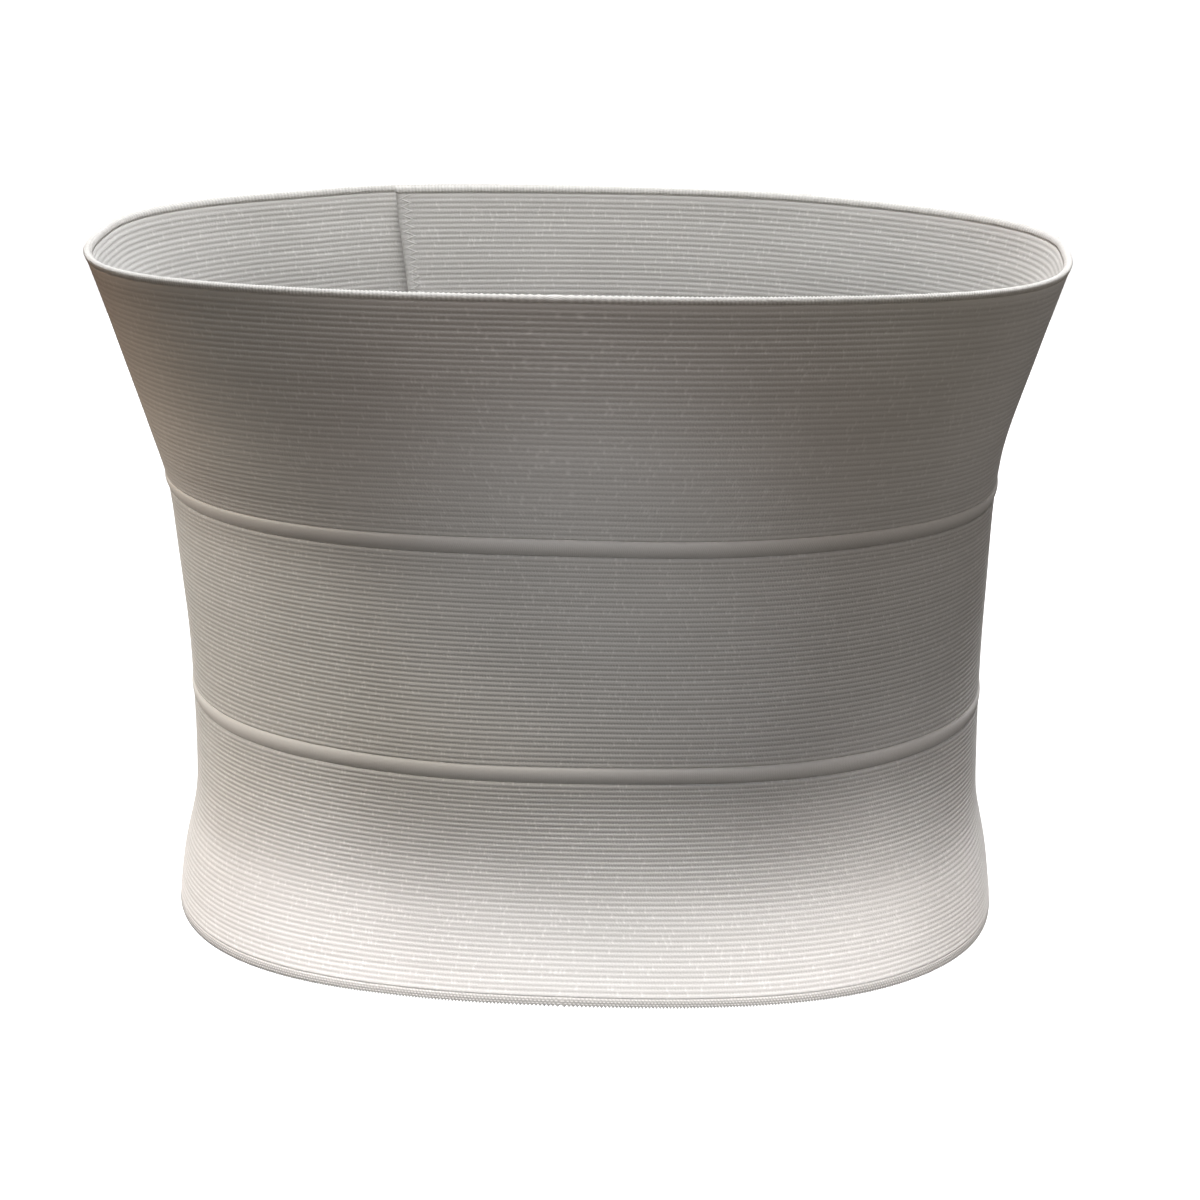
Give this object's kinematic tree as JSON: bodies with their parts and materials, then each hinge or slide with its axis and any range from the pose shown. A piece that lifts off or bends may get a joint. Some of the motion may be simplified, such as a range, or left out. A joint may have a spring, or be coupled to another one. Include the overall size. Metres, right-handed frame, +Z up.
{
  "type": "abdominal binder",
  "caption": "Wide knitted elastic binder of three ribbed panels, shaped as worn round a waist, lapped and fastened at the back.",
  "frame": {"origin": "on the axis of the torso that wears it, at half the binder's height", "axes": "+Z up the torso, front facing -Y, +X to the right of someone looking at the front"},
  "size_m": [0.2914, 0.2279, 0.225],
  "materials": {
    "knit": "matte white knitted elastic with fine level ribs",
    "plain_strip": "soft white plain strip",
    "bound_edge": "bright white bound edge",
    "knit_edge": "white knitted edge with fine teeth",
    "hook_tape": "off-white hook tape"
  },
  "bodies": {
    "root": {"upper_panel": "knit", "middle_panel": "knit", "lower_panel": "knit", "upper_join_strip": "plain_strip", "lower_join_strip": "plain_strip", "top_edge": "bound_edge", "bottom_edge": "knit_edge", "hook_tape": "hook_tape"}
  },
  "joints": []
}
